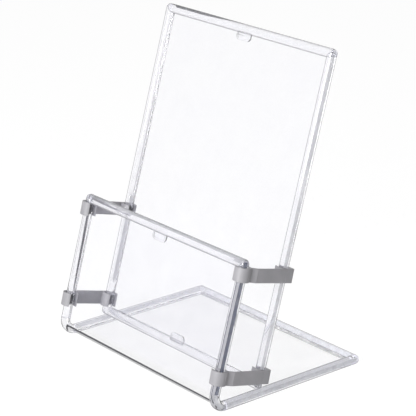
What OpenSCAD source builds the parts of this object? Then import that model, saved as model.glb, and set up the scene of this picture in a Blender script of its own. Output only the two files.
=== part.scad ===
// Clear table-top bible stand: two leaning panels, a base and four snap clips.
// The front panel and the base are one bent sheet. Round slotted rails edge every sheet.

/* [Panels] */
// Distance between the axes of the left and right rails
rail_span = 225; // [160:1:300]
// Length of the back panel between its bottom and top rail axes
back_length = 301; // [240:1:380]
// Length of the front panel from its foot to its top rail axis
front_length = 133; // [110:1:180]
// Depth of the base from the foot of the front panel to the rear rail axis
base_depth = 172; // [150:1:240]
// Lean of both panels from upright, in degrees
lean = 16; // [8:1:22]
// Distance between the two panels, square to them
panel_gap = 48; // [40:1:60]

/* [Rails] */
// Diameter of the round rails
rail_diameter = 9; // [8:0.5:11]
// Radius of the bend at the foot of the front panel, at mid thickness
bend_radius = 11; // [9:1:14]
// Depth of the flats that the base rails stand on
foot_flat = 0.3; // [0.2:0.05:0.5]
// Gap between the back panel's corners and the base rails under them
corner_gap = 0.3; // [0.2:0.1:1]

/* [Sheets] */
// Thickness of the clear sheets
sheet_thickness = 3; // [2:0.1:3.2]
// How far a sheet's edge enters its rail
slot_depth = 6; // [3:0.5:6]
// Room left around a sheet in its slot
slot_room = 0.05; // [0.02:0.01:0.1]

/* [Tabs] */
// Width of the leaf tabs
tab_width = 19; // [12:1:30]
// How far a tab reaches past its rail
tab_reach = 6; // [4:0.5:8]
// Thickness of a tab
tab_thickness = 1.8; // [1.6:0.1:2.2]
// Space for a leaf between a tab and the sheet behind it
leaf_space = 0.5; // [0.4:0.1:0.8]
// Radius of a tab's free corners
tab_corner = 4; // [2:0.5:4]
// Width of the rim round the thinned middle of a tab
tab_rim = 1.8; // [1.2:0.1:2]
// Depth of the thinned middle
tab_recess = 0.6; // [0.3:0.1:0.8]

/* [Clips] */
// Height of a clip along the rails
clip_height = 12.9; // [10:0.1:16]
// Wall of the round jaws
jaw_wall = 2.4; // [1.6:0.1:2.8]
// Room between a rail and the jaw round it
jaw_room = 0.6; // [0.5:0.05:0.8]
// How far each lip of a mouth reaches in front of the rail that it snaps over
mouth_bite = 0.3; // [0.3:0.1:0.8]
// Thickness of the flat arm between the jaws
arm_thickness = 2.2; // [1.8:0.1:3]
// How far the upper left, upper right, lower left and lower right clips stand from their stops
clip_offset = [0.8, 0, 2, 0]; // [0:0.1:4]
// Tip of the clips in the same order, in degrees
clip_tip = [1, 2, 1, 2.5]; // [0:0.5:2.5]

/* [Hidden] */
$fn = 96;

clear_plastic = [0.86, 0.89, 0.94, 0.45];
clear_sheet = [0.93, 0.95, 0.98, 0.3];
grey_plastic = [0.53, 0.53, 0.55];

rail_r = rail_diameter / 2;
half_span = rail_span / 2;
slot_floor = rail_r - slot_depth;
sheet_edge = slot_floor + slot_room;
slot_width = sheet_thickness + 2 * slot_room;

// The rails and the sheet turn through this angle at the foot of the front panel
bend_angle = 90 + lean;
// Distance from the foot, where the two legs would meet, to each end of the bend
bend_run = bend_radius * tan(bend_angle / 2);
// How much the heated bend thins each face of the sheet, and how far it runs into each leg, in degrees
bend_thinning = 0.05;
bend_lap = 3;

// Height of the back panel's bottom rail axis along the panels, from the foot
back_start = (rail_diameter + corner_gap + panel_gap * sin(lean)) / cos(lean);

jaw_bore = rail_r + jaw_room;
jaw_r = jaw_bore + jaw_wall;
mouth_width = rail_diameter - 2 * mouth_bite;
// Where a clip's lips stop short of the rail across their way, measured from that rail's axis
clip_room = 0.75;
clip_stop = sqrt(pow(rail_r, 2) - pow(mouth_width / 2, 2)) + clip_room;
// Where the neck leaves the front jaw, and where it reaches the flat of the arm
notch_angle = 44;
neck_end = jaw_r + 3.8;
// Radius of the outer corner at the rear end of the arm, and size of the crease ahead of it
heel_corner = 2.2;
crease_r = 0.5;
crease_depth = 0.3;
// How far the crease lies ahead of the rear rail's axis
crease_ahead = 2.3;

// The origin is under the middle of the stand, on the plane that it rests on
axis_height = rail_r - foot_flat;
front_edge = bend_run - bend_radius - rail_r;
rear_edge = base_depth + rail_r;
middle_y = (front_edge + rear_edge) / 2;
beyond = 4 * rail_diameter;

// From the foot of the front panel to the stand's own origin
module stand_frame() {
    translate([0, -middle_y, axis_height]) children();
}

// From the leaning panels' directions (x right, y back through the sheet, z up the sheet)
module leaning() {
    stand_frame() rotate([-lean, 0, 0]) children();
}

module mirrored() {
    mirror([1, 0, 0]) children();
}

// Half space past a mitre at the origin, for a rail along z whose sheet lies towards x
module past_mitre(tilt) {
    rotate([0, tilt, 0]) translate([-beyond, -beyond, 0]) cube(2 * beyond);
}

// Slotted rail along z from 0 to length, with its sheet towards x. Mitred ends are half balls.
module edge_rail(length, low_mitre = true) {
    difference() {
        union() {
            cylinder(r = rail_r, h = length);
            translate([0, 0, length]) sphere(r = rail_r);
            if (low_mitre) sphere(r = rail_r);
        }
        translate([0, 0, length]) past_mitre(45);
        if (low_mitre) past_mitre(135);
        translate([slot_floor, -slot_width / 2, -beyond])
            cube([beyond, slot_width, length + 2 * beyond]);
    }
}

// Everything below the plane that the stand rests on, seen from the foot
module under_feet() {
    translate([-rail_span, -rail_span, -axis_height - beyond])
        cube([2 * rail_span, 2 * rail_span + base_depth, beyond]);
}

// The bend, as a ring sector in the y-z plane that is drawn flat
module bend_sector(thickness) {
    front_angle = 180 - lean - bend_lap;
    base_angle = 270 + bend_lap;
    translate([bend_run, bend_radius])
        intersection() {
            difference() {
                circle(r = bend_radius + thickness / 2);
                circle(r = bend_radius - thickness / 2);
            }
            polygon([
                [0, 0],
                beyond * [cos(front_angle), sin(front_angle)],
                beyond * [-1, -1],
                beyond * [cos(base_angle), sin(base_angle)]
            ]);
        }
}

// Side outline of the bent sheet
module bent_outline() {
    bend_sector(sheet_thickness - 2 * bend_thinning);
    translate([bend_run, -sheet_thickness / 2])
        square([base_depth - bend_run - sheet_edge, sheet_thickness]);
    rotate(-lean)
        translate([-sheet_thickness / 2, bend_run])
            square([sheet_thickness, front_length - bend_run - sheet_edge]);
}

// Flat outline in the y-z plane, carried along x from one place to another
module along_x(from, to) {
    translate([from, 0, 0]) rotate([90, 0, 90]) linear_extrude(to - from) children();
}

// Left elbow at the foot of the front panel
module elbow() {
    difference() {
        translate([0, bend_run, bend_radius])
            rotate([90, 0, 90])
                rotate(180 - lean)
                    rotate_extrude(angle = bend_angle)
                        translate([bend_radius, 0]) circle(r = rail_r);
        along_x(slot_floor, beyond) bend_sector(slot_width);
        under_feet();
    }
}

// Tab outline that hangs from its rail's axis
module tab_outline(inset) {
    half = tab_width / 2 - inset;
    low = -(rail_r + tab_reach) + inset;
    corner = tab_corner - inset;
    translate([-half, low + corner]) square([2 * half, -low - corner]);
    translate([-half + corner, low]) square([2 * (half - corner), corner]);
    for (side = [-1, 1])
        translate([side * (half - corner), low + corner]) circle(r = corner);
}

// Leaf tab under a rail along x, ahead of the sheet, with a thinned middle
module leaf_tab() {
    tab_back = -sheet_thickness / 2 - leaf_space;
    difference() {
        translate([0, tab_back, 0]) rotate([90, 0, 0]) linear_extrude(tab_thickness) tab_outline(0);
        translate([0, tab_back - tab_thickness + tab_recess, -rail_r])
            rotate([90, 0, 0])
                linear_extrude(tab_thickness)
                    translate([0, rail_r]) tab_outline(tab_rim);
        rotate([0, 90, 0]) cylinder(r = rail_r, h = 2 * tab_width, center = true);
    }
}

// Clip outline across the rails: x outwards, y back, with the front rail at the origin
module clip_outline() {
    difference() {
        union() {
            circle(r = jaw_r);
            translate([0, panel_gap]) circle(r = jaw_r);
            translate([jaw_r - arm_thickness, neck_end])
                square([arm_thickness, panel_gap - neck_end]);
            polygon([
                jaw_r * [sin(notch_angle), cos(notch_angle)],
                [jaw_r, neck_end],
                [jaw_r - arm_thickness, neck_end + arm_thickness / 2],
                jaw_bore * [sin(notch_angle / 2), cos(notch_angle / 2)]
            ]);
            translate([0, panel_gap]) square([jaw_r, jaw_r - heel_corner]);
            translate([0, panel_gap]) square([jaw_r - heel_corner, jaw_r]);
            translate([jaw_r - heel_corner, panel_gap + jaw_r - heel_corner])
                circle(r = heel_corner);
        }
        for (rail_y = [0, panel_gap]) {
            translate([0, rail_y]) circle(r = jaw_bore);
            translate([-2 * jaw_r, rail_y - mouth_width / 2]) square([2 * jaw_r, mouth_width]);
        }
        translate([jaw_r + crease_r - crease_depth, panel_gap - crease_ahead]) circle(r = crease_r);
    }
}

// Right hand clip. It is tipped about the rail at pivot_y, at a height above its low end.
module clip(low_end, pivot_y, pivot_height, tip) {
    leaning()
        translate([half_span, pivot_y, low_end + pivot_height])
            rotate([tip, 0, 0])
                translate([0, -pivot_y, -pivot_height])
                    linear_extrude(clip_height) clip_outline();
}

module upper_clip(offset, tip) {
    color(grey_plastic)
        clip(front_length - clip_stop - offset - clip_height, 0, clip_height * 0.75, tip);
}

module lower_clip(offset, tip) {
    color(grey_plastic)
        clip(back_start + clip_stop + offset, panel_gap, clip_height * 0.25, tip);
}

module back_sheet() {
    color(clear_sheet) leaning()
        translate([-half_span + sheet_edge, panel_gap - sheet_thickness / 2, back_start + sheet_edge])
            cube([rail_span - 2 * sheet_edge, sheet_thickness, back_length - 2 * sheet_edge]);
}

module back_left_rail() {
    color(clear_plastic) leaning()
        translate([-half_span, panel_gap, back_start]) edge_rail(back_length);
}

module back_right_rail() {
    mirrored() back_left_rail();
}

module back_top_rail() {
    color(clear_plastic) leaning()
        translate([-half_span, panel_gap, back_start + back_length])
            rotate([0, 90, 0]) edge_rail(rail_span);
}

module back_bottom_rail() {
    color(clear_plastic) leaning()
        translate([-half_span, panel_gap, back_start])
            mirror([0, 0, 1]) rotate([0, 90, 0]) edge_rail(rail_span);
}

module back_top_tab() {
    color(clear_plastic) leaning()
        translate([0, panel_gap, back_start + back_length]) leaf_tab();
}

module back_bottom_tab() {
    color(clear_plastic) leaning()
        translate([0, panel_gap, back_start]) mirror([0, 0, 1]) leaf_tab();
}

module bent_sheet() {
    color(clear_sheet) stand_frame()
        along_x(-half_span + sheet_edge, half_span - sheet_edge) bent_outline();
}

module front_left_rail() {
    color(clear_plastic) leaning()
        translate([-half_span, 0, bend_run]) edge_rail(front_length - bend_run, false);
}

module front_right_rail() {
    mirrored() front_left_rail();
}

module front_top_rail() {
    color(clear_plastic) leaning()
        translate([-half_span, 0, front_length]) rotate([0, 90, 0]) edge_rail(rail_span);
}

module front_top_tab() {
    color(clear_plastic) leaning() translate([0, 0, front_length]) leaf_tab();
}

module front_left_elbow() {
    color(clear_plastic) stand_frame() translate([-half_span, 0, 0]) elbow();
}

module front_right_elbow() {
    mirrored() front_left_elbow();
}

module base_left_rail() {
    color(clear_plastic) stand_frame()
        difference() {
            translate([-half_span, bend_run, 0])
                rotate([-90, 0, 0]) edge_rail(base_depth - bend_run, false);
            under_feet();
        }
}

module base_right_rail() {
    mirrored() base_left_rail();
}

module base_rear_rail() {
    color(clear_plastic) stand_frame()
        difference() {
            translate([-half_span, base_depth, 0])
                rotate([-90, 0, 0]) rotate([0, 90, 0]) edge_rail(rail_span);
            under_feet();
        }
}

module left_upper_clip() {
    mirrored() upper_clip(clip_offset[0], clip_tip[0]);
}

module right_upper_clip() {
    upper_clip(clip_offset[1], clip_tip[1]);
}

module left_lower_clip() {
    mirrored() lower_clip(clip_offset[2], clip_tip[2]);
}

module right_lower_clip() {
    lower_clip(clip_offset[3], clip_tip[3]);
}

back_sheet();
back_left_rail();
back_right_rail();
back_top_rail();
back_bottom_rail();
back_top_tab();
back_bottom_tab();
bent_sheet();
front_left_rail();
front_right_rail();
front_top_rail();
front_top_tab();
front_left_elbow();
front_right_elbow();
base_left_rail();
base_right_rail();
base_rear_rail();
left_upper_clip();
right_upper_clip();
left_lower_clip();
right_lower_clip();
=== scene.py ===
# %% [markdown]
# A clear table-top bible stand, dressed around its solid model.
#
# The stand is two leaning panels of clear sheet, each edged with round clear rails, and four grey
# snap clips that tie the panels together. The solid model gives every piece its place and its size.
# This lesson swaps the solids for smooth meshes, because clear plastic shows every facet, and then
# gives them materials, light and a camera.

# %% Load the solid model
import math

import bmesh
import bpy
from mathutils import Matrix, Vector


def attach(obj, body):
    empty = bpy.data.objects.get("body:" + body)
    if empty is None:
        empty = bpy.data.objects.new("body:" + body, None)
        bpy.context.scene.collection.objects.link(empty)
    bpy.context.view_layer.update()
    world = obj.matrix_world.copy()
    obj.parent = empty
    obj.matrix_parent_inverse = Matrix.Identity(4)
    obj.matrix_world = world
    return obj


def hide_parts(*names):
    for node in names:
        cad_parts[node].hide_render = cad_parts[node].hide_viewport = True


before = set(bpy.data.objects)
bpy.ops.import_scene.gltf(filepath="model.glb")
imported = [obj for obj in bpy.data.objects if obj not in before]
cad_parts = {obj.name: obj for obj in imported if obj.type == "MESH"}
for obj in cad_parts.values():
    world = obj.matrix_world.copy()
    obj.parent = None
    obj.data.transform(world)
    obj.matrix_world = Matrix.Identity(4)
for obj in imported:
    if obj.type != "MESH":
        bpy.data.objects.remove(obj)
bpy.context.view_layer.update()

# %% [markdown]
# The sizes below repeat the solid model's named values, in metres. They could be measured from the
# solids, but named values show how the stand is put together. The two panels lean by the same
# angle, so one matrix takes a point from the panels' own directions (x to the right, y back through
# the sheet, z up the sheet) to the stand. A second matrix does the same for the flat base.

# %% Sizes and frames of reference
MM = 0.001
LEAN = math.radians(16)
RAIL_SPAN = 225 * MM
HALF_SPAN = RAIL_SPAN / 2
BACK_LENGTH = 301 * MM
FRONT_LENGTH = 133 * MM
BASE_DEPTH = 172 * MM
PANEL_GAP = 48 * MM
RAIL_R = 4.5 * MM
BEND_R = 11 * MM
FOOT_FLAT = 0.3 * MM
CORNER_GAP = 0.3 * MM
SHEET_T = 3 * MM
SLOT_FLOOR = -1.5 * MM
SLOT_WIDTH = 3.1 * MM
SLOT_ROOM = 0.05 * MM
SHEET_EDGE = SLOT_FLOOR + SLOT_ROOM

BEND_ANGLE = math.pi / 2 + LEAN
BEND_RUN = BEND_R * math.tan(BEND_ANGLE / 2)
BACK_START = (2 * RAIL_R + CORNER_GAP + PANEL_GAP * math.sin(LEAN)) / math.cos(LEAN)
FOREMOST_Y = BEND_RUN - BEND_R - RAIL_R
REARMOST_Y = BASE_DEPTH + RAIL_R
MIDDLE_Y = (FOREMOST_Y + REARMOST_Y) / 2
AXIS_HEIGHT = RAIL_R - FOOT_FLAT

BASE_FRAME = Matrix.Translation((0, -MIDDLE_Y, AXIS_HEIGHT))
PANEL_FRAME = BASE_FRAME @ Matrix.Rotation(-LEAN, 4, "X")


def turned(angle, axis):
    return Matrix.Rotation(math.radians(angle), 4, axis)


def moved(x, y, z):
    return Matrix.Translation((x, y, z))


print("back panel starts %.2f mm up the lean" % (BACK_START / MM))

# %% [markdown]
# Node trees come next, for shapes and for materials. Blender builds a formula from one node for each
# step, which is slow to write and hard to read as a list of links. A small class writes the nodes
# and the links, so that a formula in this lesson reads from left to right.

# %% A helper that writes formulas as nodes
class Formula:
    """Builds nodes in a tree, and links them to the values they work on."""

    def __init__(self, tree):
        self.tree = tree

    def node(self, kind, **settings):
        made = self.tree.nodes.new(kind)
        for name, value in settings.items():
            setattr(made, name, value)
        return made

    def feed(self, socket, value):
        """Links a socket to another, or sets it to a plain value."""
        if isinstance(value, bpy.types.NodeSocket):
            self.tree.links.new(value, socket)
        else:
            socket.default_value = value

    def feed_all(self, node, values):
        for socket, value in zip(node.inputs, values):
            self.feed(socket, value)
        return node.outputs[0]

    def math(self, operation, *values):
        return self.feed_all(self.node("ShaderNodeMath", operation=operation), values)

    def add(self, a, b):
        return self.math("ADD", a, b)

    def sub(self, a, b):
        return self.math("SUBTRACT", a, b)

    def mul(self, a, b):
        return self.math("MULTIPLY", a, b)

    def div(self, a, b):
        return self.math("DIVIDE", a, b)

    def xyz(self, *values):
        return self.feed_all(self.node("ShaderNodeCombineXYZ"), values)

    def blend(self, share, first, second):
        """A colour between two. A Mix node keeps its colours in inputs 6 and 7 and in output 2."""
        made = self.node("ShaderNodeMix", data_type="RGBA")
        self.feed(made.inputs["Factor"], share)
        self.feed(made.inputs[6], (*first, 1))
        self.feed(made.inputs[7], (*second, 1))
        return made.outputs[2]

    def smooth(self, value, start, end):
        """0 before start and 1 past end, with an even rise between them."""
        made = self.node("ShaderNodeMapRange", interpolation_type="SMOOTHSTEP")
        return self.feed_all(made, (value, start, end, 0.0, 1.0))

    def either(self, test, when_true, when_false):
        """when_true where test is 1, and when_false where it is 0."""
        return self.add(self.mul(test, when_true), self.mul(self.sub(1.0, test), when_false))


print("formula helper:", Formula.__doc__)

# %% [markdown]
# A rail is a round bar with a slot for the edge of the sheet. Where two rails meet they are mitred,
# and each half of the corner is a slice of a ball. A rail could be a cylinder with the slot and the
# mitres cut out of it, but cuts leave ragged faces that clear plastic would show. The section never
# changes, so the bar follows a rule instead, and one Geometry Nodes tree makes all of them. The tree
# starts with the section: a ring of points, swept along a line of stations.

# %% The section of a rail, and its sweep
RING_POINTS = 98
TURN_STEPS = 8
BODY_STEPS = 26
STATIONS = 2 * TURN_STEPS + BODY_STEPS + 1


def rail_section(f, given):
    """A ring whose first and last points are the slot's inner corners. The rest are on the round."""
    ring = f.node("GeometryNodeCurvePrimitiveCircle")
    f.feed(ring.inputs["Resolution"], RING_POINTS)
    index = f.node("GeometryNodeInputIndex").outputs[0]
    half_slot = f.mul(given["Slot Width"], 0.5)
    slot_angle = f.math("ARCSINE", f.div(half_slot, given["Radius"]))
    share = f.div(f.sub(index, 1.0), RING_POINTS - 3.0)
    round_angle = f.add(slot_angle, f.mul(share, f.sub(2 * math.pi, f.mul(slot_angle, 2.0))))
    round_x = f.mul(given["Radius"], f.math("COSINE", round_angle))
    round_y = f.mul(given["Radius"], f.math("SINE", round_angle))
    is_first = f.math("LESS_THAN", index, 0.5)
    is_last = f.math("GREATER_THAN", index, RING_POINTS - 1.5)
    in_slot = f.add(is_first, is_last)
    slot_y = f.mul(f.sub(is_first, is_last), half_slot)
    ring_x = f.either(in_slot, given["Slot Floor"], round_x)
    ring_y = f.either(in_slot, slot_y, round_y)
    placed = f.node("GeometryNodeSetPosition")
    f.feed(placed.inputs["Geometry"], ring.outputs["Curve"])
    f.feed(placed.inputs["Position"], f.xyz(ring_x, ring_y, 0.0))
    return placed.outputs["Geometry"]


def swept(f, section):
    """The section carried up a line of stations that are one unit apart, with closed ends."""
    line = f.node("GeometryNodeCurvePrimitiveLine")
    line.inputs["End"].default_value = (0, 0, STATIONS - 1)
    spaced = f.node("GeometryNodeResampleCurve")
    f.feed(spaced.inputs["Curve"], line.outputs["Curve"])
    f.feed(spaced.inputs["Count"], STATIONS)
    sweep = f.node("GeometryNodeCurveToMesh")
    f.feed(sweep.inputs["Curve"], spaced.outputs["Curve"])
    f.feed(sweep.inputs["Profile Curve"], section)
    f.feed(sweep.inputs["Fill Caps"], True)
    return sweep.outputs["Mesh"]


print("a rail has", STATIONS, "stations of", RING_POINTS, "points")

# %% [markdown]
# A formula then moves every point of the sweep to its place on the rail. Near a mitred end the outer
# half of the ring turns through 45 degrees about the corner, and the inner half stops at the mitre.
# The elbow at the foot of the front panel is the same bar, wrapped round a bend.

# %% Where the points of a rail go
def rail_place(f, given, x, y, station, on_round):
    low_turn = f.math("MAXIMUM", f.div(f.sub(TURN_STEPS, station), TURN_STEPS), 0.0)
    high_turn = f.math("MAXIMUM", f.div(f.sub(station, TURN_STEPS + BODY_STEPS), TURN_STEPS), 0.0)
    turn_share = f.add(f.mul(low_turn, given["Low Mitre"]), f.mul(high_turn, given["High Mitre"]))
    turn = f.mul(turn_share, math.pi / 4)
    steps_along = f.math("MINIMUM", f.math("MAXIMUM", f.sub(station, TURN_STEPS), 0.0), BODY_STEPS)
    along = f.div(steps_along, BODY_STEPS)
    outer = f.mul(f.math("LESS_THAN", x, 0.0), on_round)
    rail_x = f.either(outer, f.mul(x, f.math("COSINE", turn)), x)
    past_end = f.add(f.either(outer, f.mul(x, f.math("SINE", turn)), x), given["Joint Gap"])
    low_z = f.mul(past_end, given["Low Mitre"])
    high_z = f.sub(given["Length"], f.mul(past_end, given["High Mitre"]))
    rail_z = f.add(f.mul(f.sub(1.0, along), low_z), f.mul(along, high_z))

    is_bent = f.math("GREATER_THAN", given["Bend Angle"], 0.0)
    bend_turn = f.mul(along, given["Bend Angle"])
    arm = f.sub(given["Bend Radius"], y)
    bent_y = f.sub(given["Bend Radius"], f.mul(arm, f.math("COSINE", bend_turn)))
    bent_z = f.mul(arm, f.math("SINE", bend_turn))
    return f.xyz(rail_x, f.either(is_bent, bent_y, y), f.either(is_bent, bent_z, rail_z))


# %% [markdown]
# On the real stand the sheets are cemented into the slots and the rails are cemented to each other,
# so light crosses those faces almost unbent. The tree gives the slots and the ends materials of
# their own. It could make separate pieces of cement, but a finish on faces that are there already
# keeps each rail one closed piece.

# %% The tree for a slotted rail
RAIL_SIZES = (
    "Length", "Radius", "Slot Floor", "Slot Width", "Joint Gap",
    "Low Mitre", "High Mitre", "Bend Radius", "Bend Angle",
)
RAIL_FINISHES = ("Material", "Slot Material", "Joint Material")
ROUND_SHARE = 0.8
WELD = 0.002 * MM
MOST_SIDE_CORNERS = 8.0


def finished(f, geometry, finish, selection=True):
    made = f.node("GeometryNodeSetMaterial")
    f.feed(made.inputs["Geometry"], geometry)
    f.feed(made.inputs["Selection"], selection)
    f.feed(made.inputs["Material"], finish)
    return made.outputs[0]


def rail_tree():
    tree = bpy.data.node_groups.new("slotted_rail", "GeometryNodeTree")
    for name in RAIL_SIZES:
        tree.interface.new_socket(name, in_out="INPUT", socket_type="NodeSocketFloat")
    for name in RAIL_FINISHES:
        tree.interface.new_socket(name, in_out="INPUT", socket_type="NodeSocketMaterial")
    tree.interface.new_socket("Geometry", in_out="OUTPUT", socket_type="NodeSocketGeometry")
    f = Formula(tree)
    given = f.node("NodeGroupInput").outputs

    # A point of the sweep is on the round of the bar or in its slot
    place = f.node("ShaderNodeSeparateXYZ")
    f.feed(place.inputs[0], f.node("GeometryNodeInputPosition").outputs[0])
    x, y, station = place.outputs
    from_axis = f.math("SQRT", f.add(f.mul(x, x), f.mul(y, y)))
    on_round = f.math("GREATER_THAN", from_axis, f.mul(given["Radius"], ROUND_SHARE))
    bar = finished(f, swept(f, rail_section(f, given)), given["Material"])
    bar = finished(f, bar, given["Slot Material"], f.sub(1.0, on_round))

    shape = f.node("GeometryNodeSetPosition")
    f.feed(shape.inputs["Geometry"], bar)
    f.feed(shape.inputs["Position"], rail_place(f, given, x, y, station, on_round))
    weld = f.node("GeometryNodeMergeByDistance")
    f.feed(weld.inputs["Geometry"], shape.outputs["Geometry"])
    f.feed(weld.inputs["Distance"], WELD)
    real = f.node("GeometryNodeRealizeInstances")
    f.feed(real.inputs[0], weld.outputs[0])

    # An end is one face with many corners
    corners = f.node("GeometryNodeInputMeshFaceNeighbors").outputs["Vertex Count"]
    is_end = f.math("GREATER_THAN", corners, MOST_SIDE_CORNERS)
    rail = finished(f, real.outputs[0], given["Joint Material"], is_end)
    f.feed(f.node("NodeGroupOutput").inputs[0], rail)
    return tree


RAIL_TREE = rail_tree()
RAIL_INPUTS = {
    item.name: item.identifier
    for item in RAIL_TREE.interface.items_tree
    if item.item_type == "SOCKET" and item.in_out == "INPUT"
}
print("rail tree:", len(RAIL_TREE.nodes), "nodes")

# %% [markdown]
# Every new piece has to sit where its solid sits. Its object could be moved there, but the export
# puts every object back at the origin, and a pattern on its surface would slide. So the points are
# moved, and the object stays at the origin. A mirrored piece is turned inside out by the move, and
# its faces are flipped back. Edges sharper than a given angle stay crisp, and the rest is shaded
# smooth.

# %% Putting a mesh in its place
SMOOTH_ANGLE = 35
MIRROR = Matrix.Diagonal((-1, 1, 1, 1))


def settle(mesh, placing, mirrored=False, crease=SMOOTH_ANGLE, ground=None):
    """Moves a mesh to its place, and flattens it where it would go below the ground."""
    if mirrored:
        placing = MIRROR @ placing
    mesh.transform(placing)
    if placing.determinant() < 0:
        mesh.flip_normals()
    if ground is not None:
        for vertex in mesh.vertices:
            vertex.co.z = max(vertex.co.z, ground)
    mesh.polygons.foreach_set("use_smooth", [True] * len(mesh.polygons))
    mesh.set_sharp_from_angle(angle=math.radians(crease))
    mesh.update()


def stand_in(mesh, node, body):
    """Shows a mesh in place of a solid, and lets it move with the solid's body."""
    piece = bpy.data.objects.new(node + "_shape", mesh)
    bpy.context.scene.collection.objects.link(piece)
    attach(piece, body)
    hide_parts(node)
    return piece


def from_bmesh(name, builder, finishes):
    """A mesh with its faces outwards. A face's material index counts through the finishes."""
    mesh = bpy.data.meshes.new(name)
    bmesh.ops.recalc_face_normals(builder, faces=builder.faces)
    builder.to_mesh(mesh)
    builder.free()
    for finish in finishes:
        mesh.materials.append(finish)
    return mesh


print("edges past", SMOOTH_ANGLE, "degrees stay crisp")

# %% [markdown]
# Surface marks. Handling leaves a faint, uneven haze on plastic, and a speckle of dust and fine
# scratches. An image could hold them, but noise has no seams and needs no unwrapping. Every plastic
# here wants the marks, each in its own amount, so they are one node group. It puts out a mask and a
# height: the shaders stay in the materials.

# %% A node group for the marks of handling
SPECK_FINENESS = 22.0
CLOUD_SHARE = 0.65
CLEAN_BELOW = 0.38
MARKED_ABOVE = 0.66


def noise(f, scale, detail):
    made = f.node("ShaderNodeTexNoise")
    f.feed(made.inputs["Vector"], f.node("ShaderNodeTexCoord").outputs["Object"])
    f.feed(made.inputs["Scale"], scale)
    f.feed(made.inputs["Detail"], detail)
    return made.outputs[0]


def handling_group():
    group = bpy.data.node_groups.new("handling_marks", "ShaderNodeTree")
    for label in ("Scale", "Least", "Most"):
        group.interface.new_socket(label, in_out="INPUT", socket_type="NodeSocketFloat")
    for label in ("Haze", "Height"):
        group.interface.new_socket(label, in_out="OUTPUT", socket_type="NodeSocketFloat")
    f = Formula(group)
    given = f.node("NodeGroupInput").outputs
    cloud = noise(f, given["Scale"], detail=6.0)
    speck = noise(f, f.mul(given["Scale"], SPECK_FINENESS), detail=3.0)
    marked = f.add(f.mul(cloud, CLOUD_SHARE), f.mul(speck, 1.0 - CLOUD_SHARE))
    ramp = f.node("ShaderNodeMapRange")
    haze = f.feed_all(ramp, (marked, CLEAN_BELOW, MARKED_ABOVE, given["Least"], given["Most"]))
    out = f.node("NodeGroupOutput")
    f.feed(out.inputs["Haze"], haze)
    f.feed(out.inputs["Height"], speck)
    return group


HANDLING = handling_group()
print("mark group:", HANDLING.name, len(HANDLING.nodes), "nodes")

# %% [markdown]
# Most of the stand is clear plastic, and its materials share a few steps. The marks of handling go
# into each of them. A film is a thin layer that hides a share of what is behind it: an ordinary
# shader whose alpha is that share.

# %% Helpers for materials
CLEAR_IOR = 1.49
# What the Principled shader starts with
SHADER_IOR = 1.5
SHADER_GLOSS = 0.5
EVEN_BLEND = 0.5


def material(name):
    made = bpy.data.materials.new(name)
    made.use_nodes = True
    made.node_tree.nodes.clear()
    return made, Formula(made.node_tree)


def show(f, shader):
    f.feed(f.node("ShaderNodeOutputMaterial").inputs["Surface"], shader.outputs[0])


def marks(f, scale, least, most):
    """The marks of handling. The haze runs from least to most."""
    group = f.node("ShaderNodeGroup", node_tree=HANDLING)
    f.feed_all(group, (scale, least, most))
    return group.outputs


def bumped(f, height, strength, distance):
    bump = f.node("ShaderNodeBump")
    f.feed(bump.inputs["Strength"], strength)
    f.feed(bump.inputs["Distance"], distance)
    f.feed(bump.inputs["Height"], height)
    return bump.outputs[0]


def film(f, tone, roughness, cover, ior=SHADER_IOR, gloss=SHADER_GLOSS):
    made = f.node("ShaderNodeBsdfPrincipled")
    f.feed(made.inputs["Base Color"], (*tone, 1))
    f.feed(made.inputs["Roughness"], roughness)
    f.feed(made.inputs["IOR"], ior)
    f.feed(made.inputs["Specular IOR Level"], gloss)
    f.feed(made.inputs["Alpha"], cover)
    return made


def edge_on(f):
    """0 where a surface faces the eye, and 1 where it turns away along the outline."""
    layer = f.node("ShaderNodeLayerWeight")
    f.feed(layer.inputs["Blend"], EVEN_BLEND)
    return layer.outputs["Facing"]


print("clear plastic bends light by an index of", CLEAR_IOR)

# %% [markdown]
# The rails are solid bars, so light bends right through them. A see-through film would leave them
# flat, so they get a Principled shader with full transmission. Where a front face turns edge on to
# the eye, the colour of the bar runs to nearly black: that is painted shade, for the dark outlines
# that bent light draws on a real bar. A drawn bar is never quite true, and its faint waves soften
# the hard edges of the reflections inside: here a small share of the light leaks straight on as it
# leaves. Lamps would throw a dark shadow from the bars, so shadow rays see a plain transparent
# surface.

# %% Clear bars
BAR_CORE = (0.95, 0.95, 0.965)
# Painted shade: the nearly black colour that a bar's front faces run to along its outline
BAR_PAINTED_RIM_SHADE = (0.06, 0.06, 0.07)
PAINTED_RIM_START = 0.37
PAINTED_RIM_END = 0.77
LEAK = 0.12


def bar_tint_with_painted_rim(f):
    outside = f.sub(1.0, f.node("ShaderNodeNewGeometry").outputs["Backfacing"])
    # Painted shade: front faces darken towards their outline, whatever the light
    depth = f.mul(f.smooth(edge_on(f), PAINTED_RIM_START, PAINTED_RIM_END), outside)
    return f.blend(depth, BAR_CORE, BAR_PAINTED_RIM_SHADE)


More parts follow.
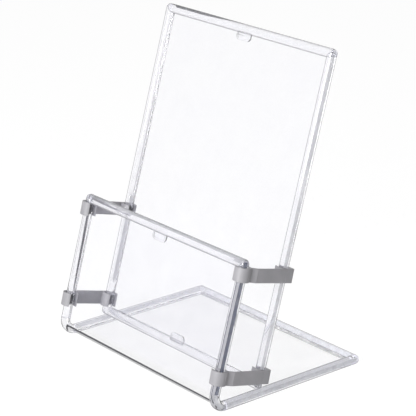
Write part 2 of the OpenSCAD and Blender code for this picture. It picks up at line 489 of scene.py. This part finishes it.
def clear_bar_material():
    made, f = material("clear_bar_plastic")
    worn = marks(f, scale=45.0, least=0.004, most=0.03)
    bar = f.node("ShaderNodeBsdfPrincipled")
    f.feed(bar.inputs["Base Color"], bar_tint_with_painted_rim(f))
    f.feed(bar.inputs["Transmission Weight"], 1.0)
    f.feed(bar.inputs["IOR"], CLEAR_IOR)
    f.feed(bar.inputs["Roughness"], worn["Haze"])
    f.feed(bar.inputs["Normal"], bumped(f, worn["Height"], strength=0.012, distance=0.02 * MM))
    see_through = f.node("ShaderNodeBsdfTransparent")
    f.feed(see_through.inputs["Color"], (0.93, 0.93, 0.95, 1))
    leaving = f.mul(f.node("ShaderNodeNewGeometry").outputs["Backfacing"], LEAK)
    shadow = f.node("ShaderNodeLightPath").outputs["Is Shadow Ray"]
    mix = f.node("ShaderNodeMixShader")
    f.feed_all(mix, (f.math("MAXIMUM", shadow, leaving), bar.outputs[0], see_through.outputs[0]))
    show(f, mix)
    return made


CLEAR_BAR = clear_bar_material()
print("bars:", CLEAR_BAR.name)

# %% [markdown]
# The sheets are flat and thin. They bend light so little that a nearly clear film with a faint cool
# tint looks right, and it costs far less to render than real refraction. The cement in the joints is
# a film too: it fills them, so light goes straight on but for a few bubbles. There are more bubbles
# in the corners than in the slots.

# %% Clear sheets and cement
def clear_sheet_material():
    made, f = material("clear_sheet_plastic")
    worn = marks(f, scale=30.0, least=0.05, most=0.08)
    show(f, film(f, tone=(0.3, 0.3, 0.36), roughness=0.05, cover=worn["Haze"], ior=CLEAR_IOR))
    return made


def cement_material(name, least, most):
    made, f = material(name)
    worn = marks(f, scale=400.0, least=least, most=most)
    show(f, film(f, tone=(0.6, 0.6, 0.66), roughness=0.4, cover=worn["Haze"], gloss=0.0))
    return made


CLEAR_SHEET = clear_sheet_material()
SLOT_CEMENT = cement_material("slot_cement", least=0.0, most=0.02)
CORNER_CEMENT = cement_material("corner_cement", least=0.35, most=0.6)
print("sheets and cement:", CLEAR_SHEET.name, SLOT_CEMENT.name, CORNER_CEMENT.name)

# %% [markdown]
# The edges of the sheets lie inside the rails, which magnify them into the grey bands that run along
# each rail. A worn edge is grey and patchy, and a polished one hardly shows. The one sawn edge is
# dull, and its nearly black tone is painted shade, for the dark band along the front right rail. The
# moulded walls of the small tabs are a dark grey between these, which is painted shade too, for the
# dark outlines of the tabs. Each is a film that differs only in its tone and in how much it hides,
# so one function makes all four.

# %% Edges of the sheets and tabs
def edge_material(name, tone, least, most):
    made, f = material(name)
    worn = marks(f, scale=120.0, least=least, most=most)
    show(f, film(f, tone, roughness=0.5, cover=worn["Haze"]))
    return made


# The sawn edge's nearly black tone is painted shade for the dark band along the front right rail
SAWN_EDGE_PAINTED_SHADE = edge_material("sawn_edge_painted_shade", (0.05, 0.06, 0.1), least=0.8, most=1.0)
WORN_EDGE = edge_material("worn_edge", (0.4, 0.405, 0.43), least=0.45, most=0.95)
# The dark grey of the tab walls is painted shade for the dark outlines of the clear tabs
TAB_WALL_PAINTED_SHADE = edge_material("tab_wall_painted_shade", (0.14, 0.14, 0.15), least=0.3, most=0.65)
POLISHED_EDGE = edge_material("polished_edge", (0.5, 0.5, 0.52), least=0.02, most=0.15)
print("edges:", SAWN_EDGE_PAINTED_SHADE.name, WORN_EDGE.name, TAB_WALL_PAINTED_SHADE.name, POLISHED_EDGE.name)

# %% [markdown]
# The bend at the foot of the front is drawn by a thin dark line. There the eye looks along the sheet,
# through its wall, and no light comes from behind. A flat film can't do that, and real refraction
# would need a sheet that is solid to the renderer. So the film at the bend grows dense over a band
# of angles, where the wall is seen end on, and stays lighter past it, at the outline.

# %% The bend
BEND_TONE = (0.03, 0.03, 0.035)


def bend_material(name, band, wall_cover, rim_cover):
    """band says how far edge on the wall starts, is full, begins to end and has ended."""
    made, f = material(name)
    worn = marks(f, scale=30.0, least=0.02, most=0.03)
    wall_start, wall_full, wall_fades, wall_end = band
    facing = edge_on(f)
    in_wall = f.mul(f.smooth(facing, wall_start, wall_full), f.smooth(facing, wall_end, wall_fades))
    wall = f.mul(in_wall, wall_cover)
    rim = f.mul(f.smooth(facing, wall_fades, wall_end), rim_cover)
    cover = f.math("MAXIMUM", worn["Haze"], f.math("MAXIMUM", wall, rim))
    show(f, film(f, BEND_TONE, roughness=0.05, cover=cover, ior=CLEAR_IOR, gloss=0.1))
    return made


INSIDE_BAND = (0.7, 0.75, 0.9, 1.0)
OUTSIDE_BAND = (0.549, 0.562, 0.67, 0.6855)
BEND_INSIDE = bend_material("bend_inside_plastic", INSIDE_BAND, wall_cover=0.06, rim_cover=0.06)
BEND_OUTSIDE = bend_material("bend_outside_plastic", OUTSIDE_BAND, wall_cover=1.0, rim_cover=0.33)
print("bend:", BEND_INSIDE.name, BEND_OUTSIDE.name)

# %% [markdown]
# The rails themselves. Twelve rails could be modelled one by one, but one tree keeps their sections
# the same. For each rail a passing object carries the tree as a modifier. The inputs are set, the
# result is taken as a plain mesh, and the mesh goes to its place. Right-hand rails mirror the
# left-hand ones. The base rails stand on small flats, so their points stop at the floor.

# %% Make a rail
JOINT_GAP = 0.01 * MM


def rail_mesh(name, length, low_mitre, high_mitre, bend):
    carrier = bpy.data.objects.new(name, bpy.data.meshes.new(name))
    bpy.context.scene.collection.objects.link(carrier)
    tree = carrier.modifiers.new("rail", "NODES")
    tree.node_group = RAIL_TREE
    values = {
        "Length": length, "Radius": RAIL_R, "Slot Floor": SLOT_FLOOR, "Slot Width": SLOT_WIDTH,
        "Joint Gap": JOINT_GAP, "Low Mitre": low_mitre, "High Mitre": high_mitre,
        "Bend Radius": BEND_R, "Bend Angle": bend, "Material": CLEAR_BAR,
        "Slot Material": SLOT_CEMENT, "Joint Material": CORNER_CEMENT,
    }
    for label, value in values.items():
        tree[RAIL_INPUTS[label]] = value
    seen = carrier.evaluated_get(bpy.context.evaluated_depsgraph_get())
    mesh = bpy.data.meshes.new_from_object(seen)
    carrier.modifiers.clear()
    bpy.data.objects.remove(carrier)
    return mesh


# %% Make all the rails
ALONG_X = turned(90, "Y")
UPSIDE_DOWN = Matrix.Diagonal((1, 1, -1, 1))
BACK = PANEL_FRAME @ moved(-HALF_SPAN, PANEL_GAP, BACK_START)
BACK_TOP = PANEL_FRAME @ moved(-HALF_SPAN, PANEL_GAP, BACK_START + BACK_LENGTH) @ ALONG_X
BACK_BOTTOM = BACK @ UPSIDE_DOWN @ ALONG_X
FRONT = PANEL_FRAME @ moved(-HALF_SPAN, 0, BEND_RUN)
FRONT_TOP = PANEL_FRAME @ moved(-HALF_SPAN, 0, FRONT_LENGTH) @ ALONG_X
BASE = BASE_FRAME @ moved(-HALF_SPAN, BEND_RUN, 0) @ turned(-90, "X")
BASE_REAR = BASE_FRAME @ moved(-HALF_SPAN, BASE_DEPTH, 0) @ turned(-90, "X") @ ALONG_X
ELBOW = BASE_FRAME @ moved(-HALF_SPAN, BEND_RUN, 0) @ turned(90, "X")

FRONT_RUN = FRONT_LENGTH - BEND_RUN
BASE_RUN = BASE_DEPTH - BEND_RUN
RAILS = (
    # node, body, place, length, low mitre, high mitre, bend, mirrored, floor
    ("back_left_rail", "back_panel", BACK, BACK_LENGTH, 1, 1, 0, False, None),
    ("back_right_rail", "back_panel", BACK, BACK_LENGTH, 1, 1, 0, True, None),
    ("back_top_rail", "back_panel", BACK_TOP, RAIL_SPAN, 1, 1, 0, False, None),
    ("back_bottom_rail", "back_panel", BACK_BOTTOM, RAIL_SPAN, 1, 1, 0, False, None),
    ("front_left_rail", "stand_frame", FRONT, FRONT_RUN, 0, 1, 0, False, None),
    ("front_right_rail", "stand_frame", FRONT, FRONT_RUN, 0, 1, 0, True, None),
    ("front_top_rail", "stand_frame", FRONT_TOP, RAIL_SPAN, 1, 1, 0, False, None),
    ("front_left_elbow", "stand_frame", ELBOW, 0, 0, 0, BEND_ANGLE, False, 0),
    ("front_right_elbow", "stand_frame", ELBOW, 0, 0, 0, BEND_ANGLE, True, 0),
    ("base_left_rail", "stand_frame", BASE, BASE_RUN, 0, 1, 0, False, 0),
    ("base_right_rail", "stand_frame", BASE, BASE_RUN, 0, 1, 0, True, 0),
    ("base_rear_rail", "stand_frame", BASE_REAR, RAIL_SPAN, 1, 1, 0, False, 0),
)
for node, body, place, length, low, high, bend, mirrored, floor in RAILS:
    mesh = rail_mesh(node, length, float(low), float(high), bend)
    settle(mesh, place, mirrored, ground=floor)
    stand_in(mesh, node, body)
    print(node, len(mesh.polygons), "faces")

# %% [markdown]
# The back sheet is a plain plate, whose slightly eased edges sit in the rails' slots. A cube that is
# stretched to size and bevelled gives that at once. Its right and bottom edges are worn, and the
# other two are polished.

# %% Make the back sheet
EDGE_EASE = 0.15 * MM
FLAT_FACE = 0.9
TURNED_FACE = 0.5
BACK_FINISHES = (CLEAR_SHEET, POLISHED_EDGE, WORN_EDGE)


def back_sheet_mesh():
    build = bmesh.new()
    size = Vector((RAIL_SPAN - 2 * SHEET_EDGE, SHEET_T, BACK_LENGTH - 2 * SHEET_EDGE))
    middle = Vector((0, PANEL_GAP, BACK_START + BACK_LENGTH / 2))
    bmesh.ops.create_cube(build, size=1.0, matrix=Matrix.LocRotScale(middle, None, size))
    bmesh.ops.bevel(build, geom=build.edges[:], offset=EDGE_EASE, segments=2, affect="EDGES")
    for face in build.faces:
        face.normal_update()
        if abs(face.normal.y) < FLAT_FACE:
            is_worn = face.normal.x > TURNED_FACE or face.normal.z < -TURNED_FACE
            face.material_index = BACK_FINISHES.index(WORN_EDGE if is_worn else POLISHED_EDGE)
    return from_bmesh("back_sheet", build, BACK_FINISHES)


back_sheet = back_sheet_mesh()
settle(back_sheet, PANEL_FRAME)
stand_in(back_sheet, "back_sheet", "back_panel")
print("back_sheet", len(back_sheet.polygons), "faces")

# %% [markdown]
# The front and the base are one sheet that was heated along a line and bent. A bend modifier on a
# flat sheet is hard to hold to an exact radius and angle, so the outline is drawn from the side, with
# an arc for the bend, and carried across the stand. The faces at the bend and the edges get finishes
# of their own.

# %% Make the bent sheet
BEND_STEPS = 36
BENT_FINISHES = (CLEAR_SHEET, BEND_OUTSIDE, BEND_INSIDE, POLISHED_EDGE, WORN_EDGE, SAWN_EDGE_PAINTED_SHADE)


def bent_outline():
    """Side outline of the bent sheet, as (y, z) points: the outer face, then the inner face."""
    centre = (BEND_RUN, BEND_R)
    start, end = math.radians(270), math.pi - LEAN
    up = (math.sin(LEAN), math.cos(LEAN))
    through = (math.cos(LEAN), -math.sin(LEAN))
    top = FRONT_LENGTH - SHEET_EDGE
    rear = BASE_DEPTH - SHEET_EDGE
    faces = []
    for side in (1, -1):
        radius = BEND_R + side * SHEET_T / 2
        shift = -side * SHEET_T / 2
        points = [(rear, shift)]
        for step in range(BEND_STEPS + 1):
            angle = start + (end - start) * step / BEND_STEPS
            points.append((centre[0] + radius * math.cos(angle), centre[1] + radius * math.sin(angle)))
        points.append((top * up[0] + shift * through[0], top * up[1] + shift * through[1]))
        faces.append(points)
    return faces[0] + faces[1][::-1]


def bent_sheet_mesh():
    build = bmesh.new()
    outline = bent_outline()
    reach = HALF_SPAN - SHEET_EDGE
    left = [build.verts.new((-reach, y, z)) for y, z in outline]
    right = [build.verts.new((reach, y, z)) for y, z in outline]
    count = len(outline)
    half = count // 2
    for i in range(count):
        j = (i + 1) % count
        strip = build.faces.new((left[i], left[j], right[j], right[i]))
        finish = CLEAR_SHEET
        if i % half == half - 1:
            finish = WORN_EDGE
        elif 1 <= i % half <= BEND_STEPS:
            finish = BEND_OUTSIDE if i < half else BEND_INSIDE
        strip.material_index = BENT_FINISHES.index(finish)
    for i in range(half - 1):
        is_base = i == 0
        is_front = i == half - 2
        left_finish = WORN_EDGE if is_base else POLISHED_EDGE
        # The front's right edge takes the painted shade of the sawn edge
        right_finish = SAWN_EDGE_PAINTED_SHADE if is_front else WORN_EDGE
        for end, finish in ((left, left_finish), (right, right_finish)):
            edge = build.faces.new((end[i], end[i + 1], end[count - 2 - i], end[count - 1 - i]))
            edge.material_index = BENT_FINISHES.index(finish)
    return from_bmesh("bent_sheet", build, BENT_FINISHES)


bent_sheet = bent_sheet_mesh()
settle(bent_sheet, BASE_FRAME)
stand_in(bent_sheet, "bent_sheet", "stand_frame")
print("bent_sheet", len(bent_sheet.polygons), "faces")

# %% [markdown]
# The leaf tabs. A tab is a small D-shaped plate under the middle of a rail, just ahead of the sheet,
# so that the edge of a loose leaf tucks in behind it. A plate could be cut to the rail's round, but
# a cut leaves long thin faces. Instead it is built up in slices from back to front, each one meeting
# the round of the rail, and its front is thinned inside a rim.

# %% Make the tabs
TAB_W = 19 * MM
TAB_REACH = 6 * MM
TAB_T = 1.8 * MM
LEAF_SPACE = 0.5 * MM
TAB_CORNER = 4 * MM
TAB_RIM = 1.8 * MM
TOP_RIM_SHARE = 0.4
TAB_RECESS = 0.6 * MM
TAB_SLICES = 5
CORNER_STEPS = 10
TAB_FINISHES = (CLEAR_BAR, TAB_WALL_PAINTED_SHADE)


def tab_loop(y, inset=0.0):
    """Outline of a slice at depth y, from the left top corner round to the right top corner."""
    top = -math.sqrt(RAIL_R**2 - y**2) - JOINT_GAP - inset * TOP_RIM_SHARE
    half = TAB_W / 2 - inset
    low = -(RAIL_R + TAB_REACH) + inset
    corner = TAB_CORNER - inset
    points = [(-half, y, top)]
    for step in range(CORNER_STEPS + 1):
        angle = math.pi + math.pi / 2 * step / CORNER_STEPS
        x = -half + corner + corner * math.cos(angle)
        z = low + corner + corner * math.sin(angle)
        points.append((x, y, z))
    points += [(-x, y, z) for x, y, z in points[::-1]]
    return points


def tab_mesh(name):
    build = bmesh.new()
    back = -SHEET_T / 2 - LEAF_SPACE
    front = back - TAB_T
    slices = [tab_loop(back + (front - back) * i / (TAB_SLICES - 1)) for i in range(TAB_SLICES)]
    rim = tab_loop(front, TAB_RIM)
    recess = [(x, front + TAB_RECESS, z) for x, y, z in rim]
    rings = [[build.verts.new(point) for point in loop] for loop in (*slices, rim, recess)]
    for level, (low, high) in enumerate(zip(rings, rings[1:])):
        is_front = level == TAB_SLICES - 1
        for i in range(len(low)):
            j = (i + 1) % len(low)
            wall = build.faces.new((low[i], low[j], high[j], high[i]))
            # The side walls carry the painted shade, the front face stays clear
            wall.material_index = TAB_FINISHES.index(CLEAR_BAR if is_front else TAB_WALL_PAINTED_SHADE)
    build.faces.new(rings[0])
    build.faces.new(rings[-1])
    return from_bmesh(name, build, TAB_FINISHES)


for node, body, place in (
    ("back_top_tab", "back_panel", moved(0, PANEL_GAP, BACK_START + BACK_LENGTH)),
    ("back_bottom_tab", "back_panel", moved(0, PANEL_GAP, BACK_START) @ UPSIDE_DOWN),
    ("front_top_tab", "stand_frame", moved(0, 0, FRONT_LENGTH)),
):
    mesh = tab_mesh(node)
    settle(mesh, PANEL_FRAME @ place)
    stand_in(mesh, node, body)
    print(node, len(mesh.polygons), "faces")

# %% [markdown]
# The clips are moulded in a satin grey plastic. One flat grey would look like paper, because
# moulding leaves a fine grain, and handling rubs it a little smoother and lighter in patches. The
# grain is a bump from fine noise, and the rubbed patches come from the marks of handling.

# %% The grey plastic
GREY_DULL = (0.155, 0.153, 0.163)
GREY_RUBBED = (0.18, 0.177, 0.188)
DULL_ROUGHNESS = 0.5
RUBBED_ROUGHNESS = 0.42
GRAIN_SCALE = 2600.0


def grey_clip_material():
    made, f = material("grey_clip_plastic")
    rubbed = marks(f, scale=90.0, least=0.0, most=1.0)["Haze"]
    grain = noise(f, GRAIN_SCALE, detail=2.0)
    rough = f.node("ShaderNodeMapRange")
    roughness = f.feed_all(rough, (rubbed, 0.0, 1.0, DULL_ROUGHNESS, RUBBED_ROUGHNESS))
    body = f.node("ShaderNodeBsdfPrincipled")
    f.feed(body.inputs["Base Color"], f.blend(rubbed, GREY_DULL, GREY_RUBBED))
    f.feed(body.inputs["Roughness"], roughness)
    f.feed(body.inputs["Normal"], bumped(f, grain, strength=0.12, distance=0.04 * MM))
    show(f, body)
    return made


GREY_CLIP = grey_clip_material()
print("clips:", GREY_CLIP.name)

# %% [markdown]
# Each clip is one moulding with a round jaw at the front rail, a neck, a flat arm with a crease, and
# a squarer jaw at the rear rail. It could be joined from tubes and plates, but the joins would show.
# Its outline is walked once round instead, as arcs and straight runs, and carried up to its height.

# %% The outline of a clip
CLIP_HEIGHT = 12.9 * MM
JAW_BORE = RAIL_R + 0.6 * MM
JAW_R = JAW_BORE + 2.4 * MM
MOUTH_HALF = RAIL_R - 0.3 * MM
CLIP_STOP = math.sqrt(RAIL_R**2 - MOUTH_HALF**2) + 0.75 * MM
ARM_T = 2.2 * MM
NOTCH_ANGLE = 46
NECK_ANGLE = 22
NECK_END = JAW_R + 3.8 * MM
CREASE_Y = PANEL_GAP - 2.3 * MM
CREASE_MM = ((-0.55, 0), (-0.2, 0.28), (0.2, 0.28), (0.55, 0))
HEEL_CORNER = 2.2 * MM
ARC_STEP = 5


def arc(centre, radius, start, end):
    """Points of an arc from one angle to another, in degrees, turning either way."""
    steps = max(2, round(abs(end - start) / ARC_STEP))
    angles = [math.radians(start + (end - start) * i / steps) for i in range(steps + 1)]
    return [(centre[0] + radius * math.cos(a), centre[1] + radius * math.sin(a)) for a in angles]


def mouth_angle(radius):
    return 180 - math.degrees(math.asin(MOUTH_HALF / radius))


def clip_outline():
    """Outline across the rails: x outwards, y back, with the front rail at the origin."""
    fore, aft = (0, 0), (0, PANEL_GAP)
    outer_lip, inner_lip = mouth_angle(JAW_R), mouth_angle(JAW_BORE)
    inner_x = JAW_R - ARM_T
    heel = (JAW_R - HEEL_CORNER, PANEL_GAP + JAW_R - HEEL_CORNER)
    arm_meets_jaw = -math.degrees(math.acos(inner_x / JAW_R))
    points = arc(fore, JAW_R, 360 - outer_lip, 360 + NOTCH_ANGLE)
    points += [(JAW_R, NECK_END)]
    points += [(JAW_R - depth * MM, CREASE_Y + along * MM) for along, depth in CREASE_MM]
    points += [(JAW_R, heel[1])]
    points += arc(heel, HEEL_CORNER, 0, 90)[1:]
    points += arc(aft, JAW_R, 90, outer_lip)
    points += arc(aft, JAW_BORE, inner_lip, -inner_lip)
    points += arc(aft, JAW_R, -outer_lip, arm_meets_jaw)
    points += [(inner_x, NECK_END + ARM_T / 2)]
    points += arc(fore, JAW_R, NOTCH_ANGLE + NECK_ANGLE, outer_lip)
    points += arc(fore, JAW_BORE, inner_lip, -inner_lip)
    return points


print("clip outline:", len(clip_outline()), "points")

# %% [markdown]
# On the stand no two clips sit quite alike, so each has its own height and its own slight tip about
# one of its rails. A Bevel modifier eases the edges, as a mould does, and a Weighted Normal
# modifier then keeps the flat arms evenly shaded up to those edges.

# %% Make the clips
CLIP_EASE = 0.4 * MM
EASE_STEPS = 3
EASED_ANGLE = 40
CLIP_CREASE = 18
CLIP_WELD = 0.01 * MM


def clip_mesh(name, tip, pivot_y, pivot_share, low_end):
    build = bmesh.new()
    outline = clip_outline()
    low = [build.verts.new((x, y, 0)) for x, y in outline]
    high = [build.verts.new((x, y, CLIP_HEIGHT)) for x, y in outline]
    for i in range(len(outline)):
        j = (i + 1) % len(outline)
        build.faces.new((low[i], low[j], high[j], high[i]))
    build.faces.new(low)
    build.faces.new(high)
    bmesh.ops.remove_doubles(build, verts=build.verts, dist=CLIP_WELD)
    mesh = from_bmesh(name, build, (GREY_CLIP,))
    pivot_z = CLIP_HEIGHT * pivot_share
    mesh.transform(
        PANEL_FRAME
        @ moved(HALF_SPAN, pivot_y, low_end + pivot_z)
        @ turned(tip, "X")
        @ moved(0, -pivot_y, -pivot_z)
    )
    return mesh


UPPER_END = FRONT_LENGTH - CLIP_STOP - CLIP_HEIGHT
LOWER_END = BACK_START + CLIP_STOP
CLIPS = (
    # node, tip in degrees, rail that it tips about, share of its height there, lower end, mirrored
    ("left_upper_clip", 1.0, 0.0, 0.75, UPPER_END - 0.8 * MM, True),
    ("right_upper_clip", 2.0, 0.0, 0.75, UPPER_END, False),
    ("left_lower_clip", 1.0, PANEL_GAP, 0.25, LOWER_END + 2.0 * MM, True),
    ("right_lower_clip", 2.5, PANEL_GAP, 0.25, LOWER_END, False),
)
for node, tip, pivot_y, pivot_share, low_end, mirrored in CLIPS:
    mesh = clip_mesh(node, tip, pivot_y, pivot_share, low_end)
    settle(mesh, Matrix.Identity(4), mirrored, crease=CLIP_CREASE)
    clip = stand_in(mesh, node, node)
    ease = clip.modifiers.new("moulded_edges", "BEVEL")
    ease.width = CLIP_EASE
    ease.segments = EASE_STEPS
    ease.limit_method = "ANGLE"
    ease.angle_limit = math.radians(EASED_ANGLE)
    level = clip.modifiers.new("level_shading", "WEIGHTED_NORMAL")
    level.keep_sharp = True
    print(node, len(mesh.polygons), "faces before easing")

# %% [markdown]
# The studio. The stand is shown on white. More light would make the floor white but would bleach the
# clips too. Instead the floor and the world look white to the camera and through the plastic, and
# light the stand at a plain level. The floor takes part of its brightness from the lamp, which keeps
# a faint shadow under the stand.

# %% Floor and world
FLOOR_LIT_SHARE = 0.12
FLOOR_HALF_SIZE = 6.0
FLOOR_Z = -0.2 * MM
PAPER = (0.88, 0.88, 0.88, 1)
WHITE = (1, 1, 1, 1)
WORLD_LIGHT = 0.8


def seen_directly(f):
    """1 for rays from the camera, off gloss or through clear plastic, and 0 for the rest."""
    path = f.node("ShaderNodeLightPath").outputs
    seen = f.math("MAXIMUM", path["Is Camera Ray"], path["Is Glossy Ray"])
    return f.math("MAXIMUM", seen, path["Is Transmission Ray"])


def floor_material():
    made, f = material("white_floor")
    paper = f.node("ShaderNodeBsdfDiffuse")
    f.feed(paper.inputs["Color"], PAPER)
    glow = f.node("ShaderNodeEmission")
    f.feed(glow.inputs["Color"], WHITE)
    mix = f.node("ShaderNodeMixShader")
    glow_share = f.mul(seen_directly(f), 1.0 - FLOOR_LIT_SHARE)
    f.feed_all(mix, (glow_share, paper.outputs[0], glow.outputs[0]))
    show(f, mix)
    return made


def make_floor():
    build = bmesh.new()
    bmesh.ops.create_grid(build, x_segments=1, y_segments=1, size=FLOOR_HALF_SIZE)
    mesh = from_bmesh("floor", build, (floor_material(),))
    floor = bpy.data.objects.new("floor", mesh)
    floor.location.z = FLOOR_Z
    bpy.context.scene.collection.objects.link(floor)


def make_world():
    world = bpy.data.worlds.new("studio")
    world.use_nodes = True
    world.node_tree.nodes.clear()
    f = Formula(world.node_tree)
    sky = f.node("ShaderNodeBackground")
    f.feed(sky.inputs["Color"], WHITE)
    f.feed(sky.inputs["Strength"], f.either(seen_directly(f), 1.0, WORLD_LIGHT))
    f.feed(f.node("ShaderNodeOutputWorld").inputs["Surface"], sky.outputs[0])
    bpy.context.scene.world = world


make_floor()
make_world()
print("world lights the stand at", WORLD_LIGHT, "of white")

# %% [markdown]
# Clear plastic has little colour of its own. What shows in a rail is what the rail bends towards the
# eye, so on plain white it almost disappears. Photographers stand dark boards near clear objects to
# draw their edges, and the dark bands in these rails are made in the same way. The bands could be
# painted on the rails, but paint would not shift with the view as bent light does. Boards as close
# as these would get into a real picture, so here only gloss and clear plastic see them.

# %% A studio board
def board(name, corners, shade):
    """A flat board of one even shade, hidden from the camera, diffuse light and shadows."""
    made, f = material(name)
    dull = f.node("ShaderNodeEmission")
    f.feed(dull.inputs["Color"], (*shade, 1))
    show(f, dull)
    build = bmesh.new()
    build.faces.new([build.verts.new(corner) for corner in corners])
    card = bpy.data.objects.new(name, from_bmesh(name, build, (made,)))
    card.visible_camera = False
    card.visible_diffuse = False
    card.visible_shadow = False
    bpy.context.scene.collection.objects.link(card)
    print(name, len(corners), "corners")


# %% Boards in the pocket, behind the front right rail
BLACK = (0.02, 0.02, 0.025)
NAVY = (0.0, 0.005, 0.02)
GREY = (0.5, 0.5, 0.52)
# The grey of the painted shadow under the base right rail
RAIL_SHADOW_GREY = (0.62, 0.62, 0.65)
POCKET_BEHIND = 20 * MM
POCKET_TOP = 125 * MM
NAVY_NEAR = 7.4 * MM
GREY_NEAR = 10.5 * MM
GREY_FAR = 30 * MM


def beside_front_rail(near, far):
    """Corners of a strip that runs along the front right rail, behind it and to its left."""
    corners = []
    for inwards, z in ((near, 0), (far, 0), (far, POCKET_TOP), (near, POCKET_TOP)):
        rail_y = (z - AXIS_HEIGHT) * math.tan(LEAN) - MIDDLE_Y
        corners.append((HALF_SPAN - inwards, rail_y + POCKET_BEHIND, z))
    return corners


board("line_board", beside_front_rail(NAVY_NEAR, GREY_NEAR), NAVY)
board("line_board_grey", beside_front_rail(GREY_NEAR, GREY_FAR), GREY)

# %% A painted shadow under the base, and boards beside the stand and behind its top
RAIL_SHADOW_Z = -0.1 * MM
RAIL_SHADOW_MM = ((100, -70), (118, -70), (118, 85), (100, 85))
SIDE_X = -140 * MM
NEAR_BOARD_MM = ((-80.4, 0), (-76.7, 0), (-19.5, 130), (-32.5, 130))
# A broad foot, with a narrow tongue that follows the upper part of the back left rail
MIDDLE_BOARD_MM = (
    (-24, 30), (-1.7, 30), (22.5, 115), (11.9, 115), (62.1, 290), (58.6, 290), (8.4, 115), (0.2, 115),
)
TOP_BOARD_Z = 295 * MM
TOP_BOARD_MM = ((-116, 50.5), (-5, 50.5), (-35, 54), (-50, 56), (-75, 58.5), (-116, 58.5))


def level_board(corners_mm, z):
    return [(x * MM, y * MM, z) for x, y in corners_mm]


def side_board(corners_mm):
    return [(SIDE_X, y * MM, z * MM) for y, z in corners_mm]


# A painted shadow: a pale board under the base right rail stands for the shade on the floor beneath
# it, and only bent light through the rail shows it
board("rail_shadow_board", level_board(RAIL_SHADOW_MM, RAIL_SHADOW_Z), RAIL_SHADOW_GREY)
board("near_board", side_board(NEAR_BOARD_MM), BLACK)
board("middle_board", side_board(MIDDLE_BOARD_MM), GREY)
board("top_board", level_board(TOP_BOARD_MM, TOP_BOARD_Z), BLACK)

# %% [markdown]
# One large soft lamp stands in front of the stand, a little to the right and above. A sun or a small
# lamp would give the clips hard shadows, which a studio avoids. The world fills in the rest.

# %% Lamp
LAMP_PLACE = Vector((0.38, -1.53, 0.757))
LAMP_AIM = Vector((0, 0, 0.12))
light = bpy.data.lights.new("key", "AREA")
light.shape = "SQUARE"
light.size = 0.7
light.energy = 50.0
lamp = bpy.data.objects.new("key", light)
lamp.location = LAMP_PLACE
lamp.rotation_euler = (LAMP_AIM - LAMP_PLACE).to_track_quat("-Z", "Y").to_euler()
bpy.context.scene.collection.objects.link(lamp)
print("lamp:", lamp.name, light.energy, "W")

# %% [markdown]
# The camera stands to the right of the front and looks slightly down, from far enough away that
# the lines of the stand converge only a little. Its place is given by two angles and a distance from
# the point that it looks at, because those are what a photographer would judge by eye.

# %% Camera
AZIMUTH = math.radians(50.59)
ELEVATION = math.radians(19.36)
DISTANCE = 1.7105
LOOK_AT = Vector((0, 90 * MM - MIDDLE_Y, 135 * MM + AXIS_HEIGHT))
lens = bpy.data.cameras.new("camera")
lens.lens = 160.13
lens.sensor_width = 36.0
lens.shift_x = -0.0028
lens.shift_y = 0.0046
camera = bpy.data.objects.new("camera", lens)
away = Vector((
    math.sin(AZIMUTH) * math.cos(ELEVATION),
    -math.cos(AZIMUTH) * math.cos(ELEVATION),
    math.sin(ELEVATION),
))
camera.location = LOOK_AT + away * DISTANCE
camera.rotation_euler = (-away).to_track_quat("-Z", "Y").to_euler()
bpy.context.scene.collection.objects.link(camera)
bpy.context.scene.camera = camera
print("camera:", lens.lens, "mm lens,", DISTANCE, "m away")

# %% [markdown]
# Light that goes through several rails and sheets crosses many surfaces, and turns black if the
# renderer stops following it too soon, so the number of bounces is raised. The plain Standard view
# shows a colour about as it is written.

# %% View and the end
MOST_BOUNCES = 32
scene = bpy.context.scene
scene.view_settings.view_transform = "Standard"
scene.cycles.max_bounces = MOST_BOUNCES
scene.cycles.transmission_bounces = MOST_BOUNCES
scene.cycles.transparent_max_bounces = MOST_BOUNCES
